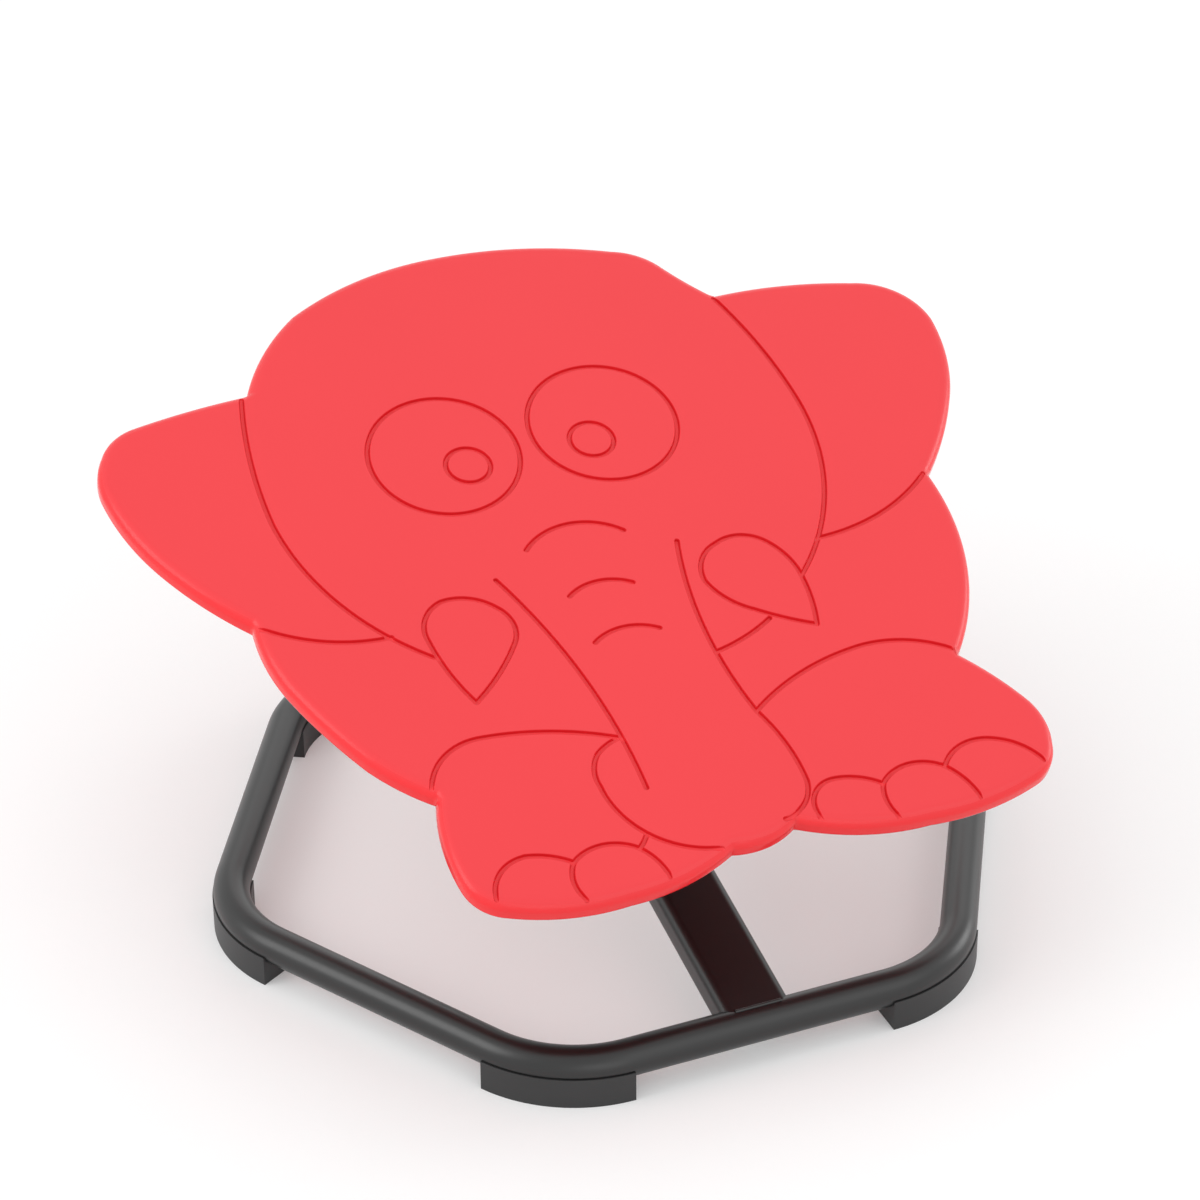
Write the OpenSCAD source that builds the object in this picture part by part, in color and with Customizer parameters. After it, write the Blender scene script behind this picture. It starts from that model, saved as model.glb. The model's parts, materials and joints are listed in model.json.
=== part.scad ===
// Toddler spinning seat: a tilted elephant-shaped plate that turns on a post over a hexagonal tube base.
// Millimetres. +Z is up, the floor is z = 0 and the origin lies below the middle of the base.
// The elephant faces -Y, where the seat is low, and its left ear is on -X.

/* [Base ring] */
// Distance from the middle of the base to each corner of the tube's centreline
ring_r = 228; // [190:1:270]
// Radius of each bend, at the tube's centreline
bend_r = 70; // [45:1:90]
// Outside diameter of the tube
tube_d = 20; // [16:0.5:25]
// Wall of the tube
tube_wall = 2; // [1.2:0.1:3]
// Length of the sleeve inside the tube, where its two ends meet
sleeve_l = 80; // [40:1:120]
// Wall of that sleeve
sleeve_wall = 1.5; // [1:0.1:3]

/* [Feet] */
// Height of the tube's underside above the floor
foot_pad = 10; // [8:0.5:20]
// Wall of a foot beside the tube
foot_wall = 0.6; // [0.4:0.1:4]
// How far below the tube's centreline a foot's walls end
foot_lip = 2.5; // [1:0.1:6]
// Shank diameter of a foot screw
foot_screw_d = 4; // [3:0.5:5]
// Head diameter of a foot screw
foot_head_d = 8; // [6:0.5:10]
// Head height of a foot screw
foot_head_h = 2.6; // [2:0.1:4]
// Depth of the pocket that hides a foot screw's head
foot_pocket = 5; // [4:0.5:7]
// How far a foot screw reaches into the tube
foot_screw_reach = 5; // [3:0.5:7]

/* [Cross bar] */
// Width of the bar
bar_w = 38; // [30:1:50]
// Height of the bar
bar_h = 19; // [15:0.5:19.5]
// Wall of the bar
bar_wall = 2; // [1.5:0.1:3]
// Radius of the bar's long edges
bar_corner = 6; // [3:0.5:7]
// Angle at which the bar rises from the front of the base, in degrees
bar_rise = 12.5; // [8:0.5:16]
// Distance from the spin axis back to where the bar turns down
bar_back = 55; // [48:1:65]
// Radius of that bend, at the bar's centreline
bar_bend_r = 60; // [40:1:70]
// Radius of the weld beads at the bar's ends
weld_r = 1.8; // [1:0.1:3]

/* [Seat plate] */
// Width of the seat, from ear to ear
seat_w = 490; // [420:1:560]
// Length of the seat, from the top of the head to the feet
seat_l = 444; // [400:1:520]
// Thickness of the seat
seat_t = 13; // [12:0.5:19]
// Tilt of the seat and of the spin axis, in degrees
seat_tilt = 20; // [14:0.5:24]
// Height of the seat's top at the spin axis
seat_h = 207.2; // [196:0.1:260]
// Distance of the spin axis behind the middle of the base, at the seat's top
axis_back = 10.8; // [0:0.1:30]
// Width of the routed lines
groove_w = 3; // [2:0.1:5]
// Depth of the routed lines
groove_depth = 1.8; // [1:0.1:3]
// Radius of the eyes, at the middle of the line
eye_r = 41.4; // [25:0.1:45]
// Radius of the pupils, at the middle of the line
pupil_r = 12.2; // [6:0.1:16]

/* [Swivel] */
// Diameter of the post below the hub
post_d = 36; // [34:0.5:37]
// Diameter of the shaft inside the bearings
shaft_d = 25; // [22:0.5:26]
// Diameter of the thread on top of the shaft
thread_d = 20; // [16:0.5:21]
// Outside diameter of the bearings
bearing_d = 52; // [50:0.5:60]
// Width of each bearing
bearing_w = 15; // [13:0.5:18]
// Diameter of the balls
ball_d = 8; // [6:0.1:8.4]
// Number of balls in each bearing
ball_count = 9; // [7:1:10]
// Distance between the two bearings
bearing_gap = 18; // [12:1:30]
// Depth of the space for the nut, above the upper bearing
nut_space = 19; // [17:0.5:26]
// Wall of the hub around the bearings
hub_wall = 7; // [5:0.5:12]
// Height of the dust seal below the lower bearing
seal_h = 5; // [3:0.5:8]
// Diameter of the hub's flange
flange_d = 150; // [140:1:170]
// Thickness of the hub's flange
flange_t = 6; // [4:0.5:8]
// Thickness of the wedge block under the post, at the spin axis
block_t = 8; // [7:0.5:14]
// Length of the wedge block, along the bar
block_l = 50; // [42:1:56]

/* [Seat fixings] */
// Diameter of the circle of seat screws
bolt_circle_d = 120; // [105:1:126]
// Number of seat screws
bolt_count = 6; // [4:1:8]
// Shank diameter of a seat screw
bolt_d = 6; // [5:0.5:8]
// Thickness of the seat above a threaded insert
insert_roof = 4; // [3:0.5:6]
// Wall of a threaded insert
insert_wall = 1.5; // [1:0.1:2]

/* [Hidden] */
$fn = 96;

// Clearances, overruns and fineness
overrun = 1;
slip = 0.05;
press = 0.02;
run_gap = 0.06;
line_fn = 360;
outline_step = 6;

// Faint band that the bending tool leaves where a bend starts: its height and its length
bend_mark_h = 0.02;
bend_mark_l = 1;

// Colours
steel_paint = "#484b4c";
rubber = "#38393a";
bright_steel = "#b9bcc0";
zinc = "#a9adb0";
brass = "#b5974f";
cage_nylon = "#d8d3c2";
seat_red = "#f9545a";

// Base ring
corners = 6;
corner_turn = 360 / corners;
half_corner = corner_turn / 2;
tube_r = tube_d / 2;
tube_z = foot_pad + tube_r;
apothem = ring_r * cos(half_corner);
bend_centre = ring_r - bend_r / cos(half_corner);
side_l = 2 * (ring_r * sin(half_corner) - bend_r * tan(half_corner));
sleeve_r = tube_r - tube_wall - slip;

// Feet and their screws
foot_screw_turn_share = 0.28;
foot_w = tube_d + 2 * foot_wall;
foot_head_gap = 0.5;
foot_pocket_d = foot_head_d + 2 * foot_head_gap;

// Spin axis: local z = 0 is the seat's underside
bolt_circle_r = bolt_circle_d / 2;
axis_y = axis_back + seat_t * sin(seat_tilt);
axis_z = seat_h - seat_t * cos(seat_tilt);

// Cross bar: where its centreline crosses the spin axis, and its bend behind that
wedge_angle = seat_tilt - bar_rise;
bar_drop = (axis_z - tube_z - (axis_y + apothem) * tan(bar_rise))
    / (cos(seat_tilt) + sin(seat_tilt) * tan(bar_rise));
bar_cross_y = axis_y + bar_drop * sin(seat_tilt);
bar_top_y = bar_cross_y + bar_back;
bar_top_z = tube_z + (bar_top_y + apothem) * tan(bar_rise);
bar_fall = atan2(bar_top_z - tube_z, apothem - bar_top_y);
bar_turn = bar_rise + bar_fall;
bar_tangent = bar_bend_r * tan(bar_turn / 2);
front_leg_l = (bar_top_y + apothem) / cos(bar_rise) - bar_tangent;
rear_leg_l = (apothem - bar_top_y) / cos(bar_fall) - bar_tangent;
cope_r = tube_r + slip;
weld_y = sqrt(max(0, cope_r * cope_r - bar_h * bar_h / 4));
weld_l = bar_w - 2 * bar_corner;

// Wedge block and post
block_w = bar_w - bar_corner / 2;
block_top = bar_h / 2 + block_t;
block_y = (bar_cross_y + apothem) / cos(bar_rise) - block_top * tan(wedge_angle);
post_foot = block_top / cos(wedge_angle) - bar_drop;

// Bearings, from the top of the hub down
shaft_r = shaft_d / 2;
thread_r = thread_d / 2;
post_r = post_d / 2;
bearing_r = bearing_d / 2;
ball_r = ball_d / 2;
race_r = ball_r + 2 * run_gap;
pitch_r = (shaft_r + bearing_r) / 2;
race_step_share = 0.9;
race_step = ball_r * race_step_share;
cage_step_share = 0.42;
cage_step = ball_r * cage_step_share;
cage_rim = 1;
cage_h = ball_d + 2 * cage_rim;
pocket_r = ball_r + 2 * run_gap;
upper_z = -nut_space - bearing_w;
lower_z = upper_z - bearing_gap - bearing_w;
hub_foot = lower_z - seal_h;
hub_r = bearing_r + hub_wall;
land_r = pitch_r + race_step;
spacer_wall = 3;

// Nut, washer and retaining ring on top of the upper bearing
washer_t = 3;
nut_h = 10;
nut_r = 16;
thread_gap = 2.5;
clip_t = 1.8;
clip_depth = 1.5;
clip_w = 3.4;
clip_gap = 14;

// Seat screws, washers and inserts
bolt_r = bolt_d / 2;
bolt_play = 0.3;
bolt_hole_r = bolt_r + bolt_play;
bolt_head_r = 5;
bolt_head_h = 6;
bolt_key_r = 2.9;
bolt_key_depth = 3;
bolt_washer_r = 6;
bolt_washer_t = 1.6;
insert_l = seat_t - insert_roof;
bolt_tip_gap = 1;
bolt_reach = insert_l - bolt_tip_gap;
insert_r = bolt_r + press + insert_wall;
insert_floor_gap = 0.5;
insert_hole_l = insert_l + insert_floor_gap;

// Outline of the elephant in shares of seat_w and seat_l from the spin axis:
// a corner, a point on the arc that follows it, the next corner, and so on
outline_shares = [
    [-0.035, 0.476], [0.071, 0.464], [0.170, 0.430], [0.199, 0.413], [0.217, 0.390], [0.236, 0.356],
    [0.259, 0.322], [0.346, 0.317], [0.425, 0.299], [0.469, 0.274], [0.496, 0.212], [0.488, 0.146],
    [0.464, 0.081], [0.429, 0.021], [0.390, -0.029], [0.382, -0.157], [0.312, -0.301], [0.341, -0.347],
    [0.361, -0.390], [0.366, -0.422], [0.360, -0.455], [0.351, -0.475], [0.330, -0.494], [0.262, -0.512],
    [0.193, -0.513], [0.118, -0.503], [0.051, -0.473], [0.013, -0.489], [-0.025, -0.487], [-0.084, -0.511],
    [-0.150, -0.519], [-0.217, -0.515], [-0.279, -0.494], [-0.302, -0.474], [-0.312, -0.445],
    [-0.312, -0.386], [-0.299, -0.326], [-0.328, -0.294], [-0.352, -0.258], [-0.379, -0.197],
    [-0.400, -0.136], [-0.409, -0.087], [-0.408, -0.032], [-0.445, 0.021], [-0.474, 0.076], [-0.496, 0.139],
    [-0.506, 0.203], [-0.503, 0.236], [-0.491, 0.264], [-0.472, 0.287], [-0.444, 0.299], [-0.375, 0.309],
    [-0.310, 0.313], [-0.273, 0.374], [-0.222, 0.425], [-0.134, 0.463]];

// Routed lines in the same shares, each a run of arcs
line_shares = [
    // sides of the head
    [[-0.319, 0.304], [-0.340, 0.195], [-0.345, 0.105], [-0.319, -0.018], [-0.240, -0.139]],
    [[0.255, 0.313], [0.279, 0.208], [0.287, 0.120], [0.270, 0.000], [0.188, -0.140]],
    // lower edges of the ears
    [[-0.406, -0.041], [-0.345, -0.082], [-0.274, -0.097]],
    [[0.382, -0.030], [0.317, -0.073], [0.228, -0.092]],
    // wrinkles on the trunk
    [[-0.092, -0.015], [-0.037, 0.010], [0.022, -0.017]],
    [[-0.070, -0.096], [-0.034, -0.083], [0.004, -0.096]],
    [[-0.067, -0.170], [-0.030, -0.157], [0.008, -0.170]],
    // sides of the trunk
    [[-0.139, -0.049], [-0.097, -0.213], [-0.087, -0.385]],
    [[0.073, -0.050], [0.054, -0.190], [0.065, -0.318], [0.079, -0.380], [0.080, -0.426], [0.068, -0.454],
        [0.038, -0.471]],
    // tusks
    [[-0.218, -0.215], [-0.233, -0.160], [-0.238, -0.115], [-0.227, -0.076], [-0.206, -0.062],
        [-0.178, -0.066], [-0.152, -0.088], [-0.142, -0.114], [-0.150, -0.144], [-0.178, -0.179],
        [-0.218, -0.215]],
    [[0.176, -0.216], [0.184, -0.180], [0.187, -0.142], [0.182, -0.107], [0.166, -0.077], [0.141, -0.062],
        [0.114, -0.066], [0.091, -0.083], [0.081, -0.118], [0.092, -0.146], [0.117, -0.174],
        [0.146, -0.197], [0.176, -0.216]],
    // mouth
    [[0.054, -0.222], [0.092, -0.211], [0.129, -0.192]],
    // tops of the feet
    [[-0.303, -0.320], [-0.279, -0.281], [-0.228, -0.265], [-0.163, -0.277], [-0.091, -0.308]],
    [[0.065, -0.317], [0.140, -0.276], [0.209, -0.261], [0.262, -0.269], [0.305, -0.295]],
    // tip of the trunk
    [[-0.091, -0.309], [-0.107, -0.315], [-0.120, -0.324], [-0.130, -0.341], [-0.133, -0.368],
        [-0.112, -0.440], [-0.039, -0.488]],
    // toes of the left foot
    [[-0.287, -0.481], [-0.270, -0.447], [-0.240, -0.436], [-0.216, -0.444], [-0.195, -0.459]],
    [[-0.199, -0.511], [-0.204, -0.485], [-0.195, -0.459], [-0.164, -0.446], [-0.124, -0.461],
        [-0.112, -0.481], [-0.106, -0.508]],
    [[-0.122, -0.461], [-0.116, -0.455], [-0.110, -0.447]],
    // toes of the right foot
    [[0.076, -0.483], [0.083, -0.445], [0.110, -0.434], [0.133, -0.440], [0.155, -0.455]],
    [[0.156, -0.506], [0.151, -0.480], [0.157, -0.456], [0.192, -0.439], [0.230, -0.454], [0.244, -0.479],
        [0.250, -0.506]],
    [[0.230, -0.454], [0.266, -0.429], [0.298, -0.434], [0.322, -0.452], [0.337, -0.478]]];

// Middles of the eyes and pupils in the same shares
eye_shares = [[-0.131, 0.152], [0.058, 0.152]];
pupil_shares = [[-0.110, 0.130], [0.037, 0.130]];

// Radius of the cutter's round ends, as a share of half the line's width
line_end_share = 0.98;
// Reach of the wedge that trims an arc of a line, as a share of the arc's radius
wedge_share = 1.8;

// Places on the seat from shares
function on_seat(share) = [share.x * seat_w, share.y * seat_l];

// Centre of the circle through three points
function arc_centre(a, b, c) =
    let (d = 2 * (a.x * (b.y - c.y) + b.x * (c.y - a.y) + c.x * (a.y - b.y)))
    [((a * a) * (b.y - c.y) + (b * b) * (c.y - a.y) + (c * c) * (a.y - b.y)) / d,
     ((a * a) * (c.x - b.x) + (b * b) * (a.x - c.x) + (c * c) * (b.x - a.x)) / d];

// Direction from a centre to a point, in degrees
function way_to(point, centre) = atan2(point.y - centre.y, point.x - centre.x);

// Angle swept from a through b to c, positive anticlockwise
function arc_sweep(a, b, c, centre) =
    let (turn = way_to(c, centre) - way_to(a, centre), clockwise = cross(c - a, b - a) > 0)
    clockwise ? (turn > 0 ? turn - 360 : turn) : (turn < 0 ? turn + 360 : turn);

// Points along the arc from a through b to c, without c itself
function arc_points(a, b, c) =
    let (centre = arc_centre(a, b, c), radius = norm(a - centre), start = way_to(a, centre),
        sweep = arc_sweep(a, b, c, centre), steps = ceil(radius * abs(sweep) * PI / 180 / outline_step))
    [for (step = [0 : steps - 1])
        centre + radius * [cos(start + sweep * step / steps), sin(start + sweep * step / steps)]];

// Puts its children on the tilted spin axis, with the seat's underside at z = 0
module on_axis() {
    translate([0, axis_y, axis_z]) rotate([seat_tilt, 0, 0]) children();
}

// Puts its children along the bar's front leg, with y along the leg from the tube's centreline
module on_front_leg() {
    translate([0, -apothem, tube_z]) rotate([bar_rise, 0, 0]) children();
}

// Puts its children along the bar's rear leg, with y along the leg from the tube's centreline
module on_rear_leg() {
    translate([0, apothem, tube_z]) rotate([0, 0, 180]) rotate([bar_fall, 0, 0]) children();
}

// Puts its children at one corner of the base, with the bend's centre at the origin
module at_corner(index) {
    rotate([0, 0, index * corner_turn]) translate([bend_centre, 0, 0]) children();
}

// A round ring
module ring(outer, inner, height) {
    difference() {
        cylinder(r = outer, h = height);
        translate([0, 0, -overrun]) cylinder(r = inner, h = height + 2 * overrun);
    }
}

// A round rod along +Y from the middle of one side of the base, starting at y
module side_rod(index, y, diameter, length) {
    rotate([0, 0, index * corner_turn + half_corner]) translate([apothem, y, tube_z])
        rotate([-90, 0, 0]) cylinder(d = diameter, h = length);
}

// A closed hexagonal loop of round bar
module loop(diameter) {
    mark_d = diameter + 2 * bend_mark_h;
    for (index = [0 : corners - 1]) {
        at_corner(index) translate([0, 0, tube_z]) rotate([0, 0, -half_corner])
            rotate_extrude(angle = corner_turn) translate([bend_r, 0]) circle(d = diameter);
        side_rod(index, -side_l / 2, diameter, side_l);
        side_rod(index, -side_l / 2 - bend_mark_l / 2, mark_d, bend_mark_l);
        side_rod(index, side_l / 2 - bend_mark_l / 2, mark_d, bend_mark_l);
    }
}

// Places of the two screws of each foot
module at_foot_screws(index) {
    for (side = [-1, 1])
        at_corner(index) rotate([0, 0, side * foot_screw_turn_share * corner_turn])
            translate([bend_r, 0, 0]) children();
}

module base_ring() {
    color(steel_paint) difference() {
        loop(tube_d);
        loop(tube_d - 2 * tube_wall);
        for (index = [0 : corners - 1])
            at_foot_screws(index) cylinder(d = foot_screw_d + 2 * slip, h = tube_z);
    }
}

module joint_sleeve() {
    color(zinc) translate([-sleeve_l / 2, apothem, tube_z]) rotate([0, 90, 0])
        ring(sleeve_r, sleeve_r - sleeve_wall, sleeve_l);
}

module foot(index) {
    color(rubber) difference() {
        at_corner(index) rotate([0, 0, -half_corner]) rotate_extrude(angle = corner_turn)
            translate([bend_r, 0]) difference() {
                translate([-foot_w / 2, 0]) square([foot_w, tube_z - foot_lip]);
                translate([0, tube_z]) circle(r = tube_r + slip);
            }
        at_foot_screws(index) {
            translate([0, 0, -overrun]) cylinder(d = foot_screw_d + 2 * slip, h = tube_z);
            translate([0, 0, -overrun]) cylinder(d = foot_pocket_d, h = foot_pocket + overrun);
        }
    }
}

module foot_screws() {
    color(zinc) for (index = [0 : corners - 1])
        at_foot_screws(index) translate([0, 0, foot_pocket]) {
            translate([0, 0, -foot_head_h]) cylinder(d = foot_head_d, h = foot_head_h);
            cylinder(d = foot_screw_d, h = foot_pad - foot_pocket + foot_screw_reach);
        }
}

// Section of the bar, its width along x and its height along y
module bar_section(width, height, corner) {
    square([width - 2 * corner, height], center = true);
    square([width, height - 2 * corner], center = true);
    for (x = [-1, 1], y = [-1, 1])
        translate([x * (width / 2 - corner), y * (height / 2 - corner)]) circle(r = corner);
}

// A straight stretch of the bar along +Y, its section less a margin all round
module bar_run(y, length, margin) {
    translate([0, y, 0]) rotate([-90, 0, 0]) linear_extrude(length)
        bar_section(bar_w - 2 * margin, bar_h - 2 * margin, bar_corner - margin);
}

// One leg of the bar, with the bend's mark at its end
module bar_leg(length, margin) {
    bar_run(0, length, margin);
    bar_run(length - bend_mark_l / 2, bend_mark_l, margin - bend_mark_h);
}

// The bent bar as one solid, less a margin all round
module bar_solid(margin) {
    on_front_leg() bar_leg(front_leg_l, margin);
    on_rear_leg() bar_leg(rear_leg_l, margin);
    on_front_leg() translate([0, front_leg_l, -bar_bend_r]) rotate([90, 0, 90])
        rotate([0, 0, 90 - bar_turn]) rotate_extrude(angle = bar_turn) translate([bar_bend_r, 0])
        rotate(90) bar_section(bar_w - 2 * margin, bar_h - 2 * margin, bar_corner - margin);
}

// The two stretches of tube that the bar's ends are cut to fit
module bar_end_cuts(radius) {
    for (y = [-apothem, apothem])
        translate([-bar_w, y, tube_z]) rotate([0, 90, 0]) cylinder(r = radius, h = 2 * bar_w);
}

module cross_bar() {
    color(steel_paint) difference() {
        bar_solid(0);
        bar_solid(bar_wall);
        bar_end_cuts(cope_r);
    }
}

module weld_beads() {
    for (z = [-bar_h / 2, bar_h / 2])
        translate([-weld_l / 2, weld_y, z]) rotate([0, 90, 0]) cylinder(r = weld_r, h = weld_l);
}

module bar_welds() {
    color(steel_paint) difference() {
        union() {
            on_front_leg() weld_beads();
            on_rear_leg() weld_beads();
        }
        bar_solid(0);
        bar_end_cuts(cope_r);
    }
}

module tilt_block() {
    low = block_top - block_l / 2 * tan(wedge_angle);
    high = block_top + block_l / 2 * tan(wedge_angle);
    start = block_y - block_l / 2;
    end = block_y + block_l / 2;
    color(steel_paint) on_front_leg() translate([-block_w / 2, 0, 0]) rotate([90, 0, 90])
        linear_extrude(block_w)
        polygon([[start, bar_h / 2], [end, bar_h / 2], [end, high], [start, low]]);
}

module post() {
    color(steel_paint) on_axis() rotate_extrude()
        polygon([[0, post_foot], [post_r, post_foot], [post_r, lower_z], [shaft_r, lower_z],
            [shaft_r, -nut_space], [thread_r, -nut_space], [thread_r, -thread_gap], [0, -thread_gap]]);
}

// Inner race of a bearing, standing on z = 0
module inner_race() {
    rotate_extrude() difference() {
        translate([shaft_r + press, 0]) square([pitch_r - race_step - shaft_r - press, bearing_w]);
        translate([pitch_r, bearing_w / 2]) circle(r = race_r);
    }
}

// Outer race of a bearing, standing on z = 0
module outer_race() {
    rotate_extrude() difference() {
        translate([pitch_r + race_step, 0]) square([bearing_r - press - pitch_r - race_step, bearing_w]);
        translate([pitch_r, bearing_w / 2]) circle(r = race_r);
    }
}

module at_balls() {
    for (index = [0 : ball_count - 1])
        rotate([0, 0, index * 360 / ball_count]) translate([pitch_r, 0, bearing_w / 2]) children();
}

module balls() {
    at_balls() sphere(d = ball_d);
}

// Ring that keeps the balls apart, with a round pocket for each
module cage() {
    difference() {
        translate([0, 0, (bearing_w - cage_h) / 2]) ring(pitch_r + cage_step, pitch_r - cage_step, cage_h);
        at_balls() translate([-ball_d, 0, 0]) rotate([0, 90, 0]) cylinder(r = pocket_r, h = 2 * ball_d);
    }
}

module lower_inner_race() {
    color(bright_steel) on_axis() translate([0, 0, lower_z]) inner_race();
}

module upper_inner_race() {
    color(bright_steel) on_axis() translate([0, 0, upper_z]) inner_race();
}

module race_spacer() {
    color(zinc) on_axis() translate([0, 0, lower_z + bearing_w])
        ring(shaft_r + spacer_wall, shaft_r + press, bearing_gap);
}

module post_washer() {
    color(zinc) on_axis() translate([0, 0, -nut_space])
        ring(pitch_r - race_step, thread_r + slip, washer_t);
}

module lock_nut() {
    color(zinc) on_axis() translate([0, 0, washer_t - nut_space]) difference() {
        cylinder(r = nut_r, h = nut_h, $fn = 6);
        translate([0, 0, -overrun]) cylinder(r = thread_r + press, h = nut_h + 2 * overrun);
    }
}

module lower_cage() {
    color(cage_nylon) on_axis() translate([0, 0, lower_z]) cage();
}

module lower_balls() {
    color(bright_steel) on_axis() translate([0, 0, lower_z]) balls();
}

module upper_cage() {
    color(cage_nylon) on_axis() translate([0, 0, upper_z]) cage();
}

module upper_balls() {
    color(bright_steel) on_axis() translate([0, 0, upper_z]) balls();
}

module at_bolts() {
    for (index = [0 : bolt_count - 1])
        rotate([0, 0, index * 360 / bolt_count]) translate([bolt_circle_r, 0, 0]) children();
}

module hub() {
    flange_r = flange_d / 2;
    clip_z = -nut_space + clip_t;
    color(steel_paint) on_axis() difference() {
        rotate_extrude()
            polygon([[bearing_r, 0], [flange_r, 0], [flange_r, -flange_t], [hub_r, -flange_t],
                [hub_r, hub_foot], [bearing_r, hub_foot], [bearing_r, lower_z + bearing_w],
                [land_r, lower_z + bearing_w], [land_r, upper_z], [bearing_r, upper_z],
                [bearing_r, -nut_space], [bearing_r + clip_depth, -nut_space],
                [bearing_r + clip_depth, clip_z], [bearing_r, clip_z]]);
        at_bolts() translate([0, 0, -flange_t - overrun])
            cylinder(r = bolt_hole_r, h = flange_t + 2 * overrun);
    }
}

module dust_seal() {
    color(rubber) on_axis() translate([0, 0, hub_foot])
        ring(bearing_r - press, post_r + run_gap, seal_h - slip);
}

module lower_outer_race() {
    color(bright_steel) on_axis() translate([0, 0, lower_z]) outer_race();
}

module upper_outer_race() {
    color(bright_steel) on_axis() translate([0, 0, upper_z]) outer_race();
}

module retaining_ring() {
    outer = bearing_r + clip_depth - press;
    color(zinc) on_axis() translate([0, 0, slip - nut_space]) difference() {
        ring(outer, outer - clip_w, clip_t - 2 * slip);
        translate([0, -clip_gap / 2, -overrun]) cube([2 * outer, clip_gap, clip_t + 2 * overrun]);
    }
}

// The elephant's outline, arc by arc
module seat_outline() {
    points = [for (share = outline_shares) on_seat(share)];
    count = len(points);
    polygon([for (index = [0 : 2 : count - 1])
        each arc_points(points[index], points[index + 1], points[(index + 2) % count])]);
}

// One arc of a routed line
module line_arc(a, b, c) {
    centre = arc_centre(a, b, c);
    radius = norm(a - centre);
    intersection() {
        translate(centre) difference() {
            circle(r = radius + groove_w / 2, $fn = line_fn);
            circle(r = radius - groove_w / 2, $fn = line_fn);
        }
        polygon([centre, centre + wedge_share * (a - centre), centre + wedge_share * (b - centre),
            centre + wedge_share * (c - centre)]);
    }
}

// A run of arcs, with the cutter's round mark at every corner
module line_run(shares) {
    points = [for (share = shares) on_seat(share)];
    for (index = [0 : 2 : len(points) - 3])
        line_arc(points[index], points[index + 1], points[index + 2]);
    for (index = [0 : 2 : len(points) - 1])
        translate(points[index]) circle(r = line_end_share * groove_w / 2);
}

// A round line
module line_circle(share, radius) {
    translate(on_seat(share)) difference() {
        circle(r = radius + groove_w / 2);
        circle(r = radius - groove_w / 2);
    }
}

module seat_plate() {
    color(seat_red) on_axis() difference() {
        linear_extrude(seat_t) seat_outline();
        translate([0, 0, seat_t - groove_depth]) {
            for (shares = line_shares)
                linear_extrude(groove_depth + overrun) line_run(shares);
            for (share = eye_shares)
                linear_extrude(groove_depth + overrun) line_circle(share, eye_r);
            for (share = pupil_shares)
                linear_extrude(groove_depth + overrun) line_circle(share, pupil_r);
        }
        at_bolts() translate([0, 0, -overrun]) cylinder(r = insert_r + press, h = insert_hole_l + overrun);
    }
}

module seat_inserts() {
    color(brass) on_axis() at_bolts() ring(insert_r, bolt_r + press, insert_l);
}

module hub_screws() {
    color(zinc) on_axis() at_bolts() translate([0, 0, -flange_t - bolt_washer_t]) {
        difference() {
            translate([0, 0, -bolt_head_h]) cylinder(r = bolt_head_r, h = bolt_head_h);
            translate([0, 0, -bolt_head_h - overrun])
                cylinder(r = bolt_key_r, h = bolt_key_depth + overrun, $fn = 6);
        }
        cylinder(r = bolt_r, h = flange_t + bolt_washer_t + bolt_reach);
    }
}

module hub_washers() {
    color(zinc) on_axis() at_bolts() translate([0, 0, -flange_t - bolt_washer_t])
        ring(bolt_washer_r, bolt_r + slip, bolt_washer_t);
}

base_ring();
joint_sleeve();
cross_bar();
bar_welds();
tilt_block();
post();
foot(0);  // foot_right
foot(1);  // foot_rear_right
foot(2);  // foot_rear_left
foot(3);  // foot_left
foot(4);  // foot_front_left
foot(5);  // foot_front_right
foot_screws();
lower_inner_race();
race_spacer();
upper_inner_race();
post_washer();
lock_nut();
lower_cage();
lower_balls();
upper_cage();
upper_balls();
hub();
dust_seal();
lower_outer_race();
upper_outer_race();
retaining_ring();
seat_plate();
seat_inserts();
hub_screws();
hub_washers();
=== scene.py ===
import json
import math

import bmesh
import bpy
import numpy as np
from mathutils import Matrix, Vector
from mathutils.geometry import delaunay_2d_cdt


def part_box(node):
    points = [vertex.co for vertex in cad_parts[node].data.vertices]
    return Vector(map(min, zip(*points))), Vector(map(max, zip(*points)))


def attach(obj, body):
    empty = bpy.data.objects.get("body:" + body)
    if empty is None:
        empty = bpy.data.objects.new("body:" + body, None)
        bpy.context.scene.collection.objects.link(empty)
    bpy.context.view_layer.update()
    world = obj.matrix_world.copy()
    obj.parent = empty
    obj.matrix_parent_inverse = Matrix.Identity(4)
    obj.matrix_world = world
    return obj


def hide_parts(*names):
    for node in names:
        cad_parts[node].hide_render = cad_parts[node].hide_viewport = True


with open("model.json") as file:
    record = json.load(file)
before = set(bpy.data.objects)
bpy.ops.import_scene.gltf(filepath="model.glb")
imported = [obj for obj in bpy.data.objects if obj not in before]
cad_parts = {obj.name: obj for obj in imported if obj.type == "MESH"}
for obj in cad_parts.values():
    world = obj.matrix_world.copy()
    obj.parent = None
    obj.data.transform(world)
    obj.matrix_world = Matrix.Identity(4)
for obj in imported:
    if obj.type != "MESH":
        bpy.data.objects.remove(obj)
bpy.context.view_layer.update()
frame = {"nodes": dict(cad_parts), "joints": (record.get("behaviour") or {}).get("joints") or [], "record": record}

MM = 0.001


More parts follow.
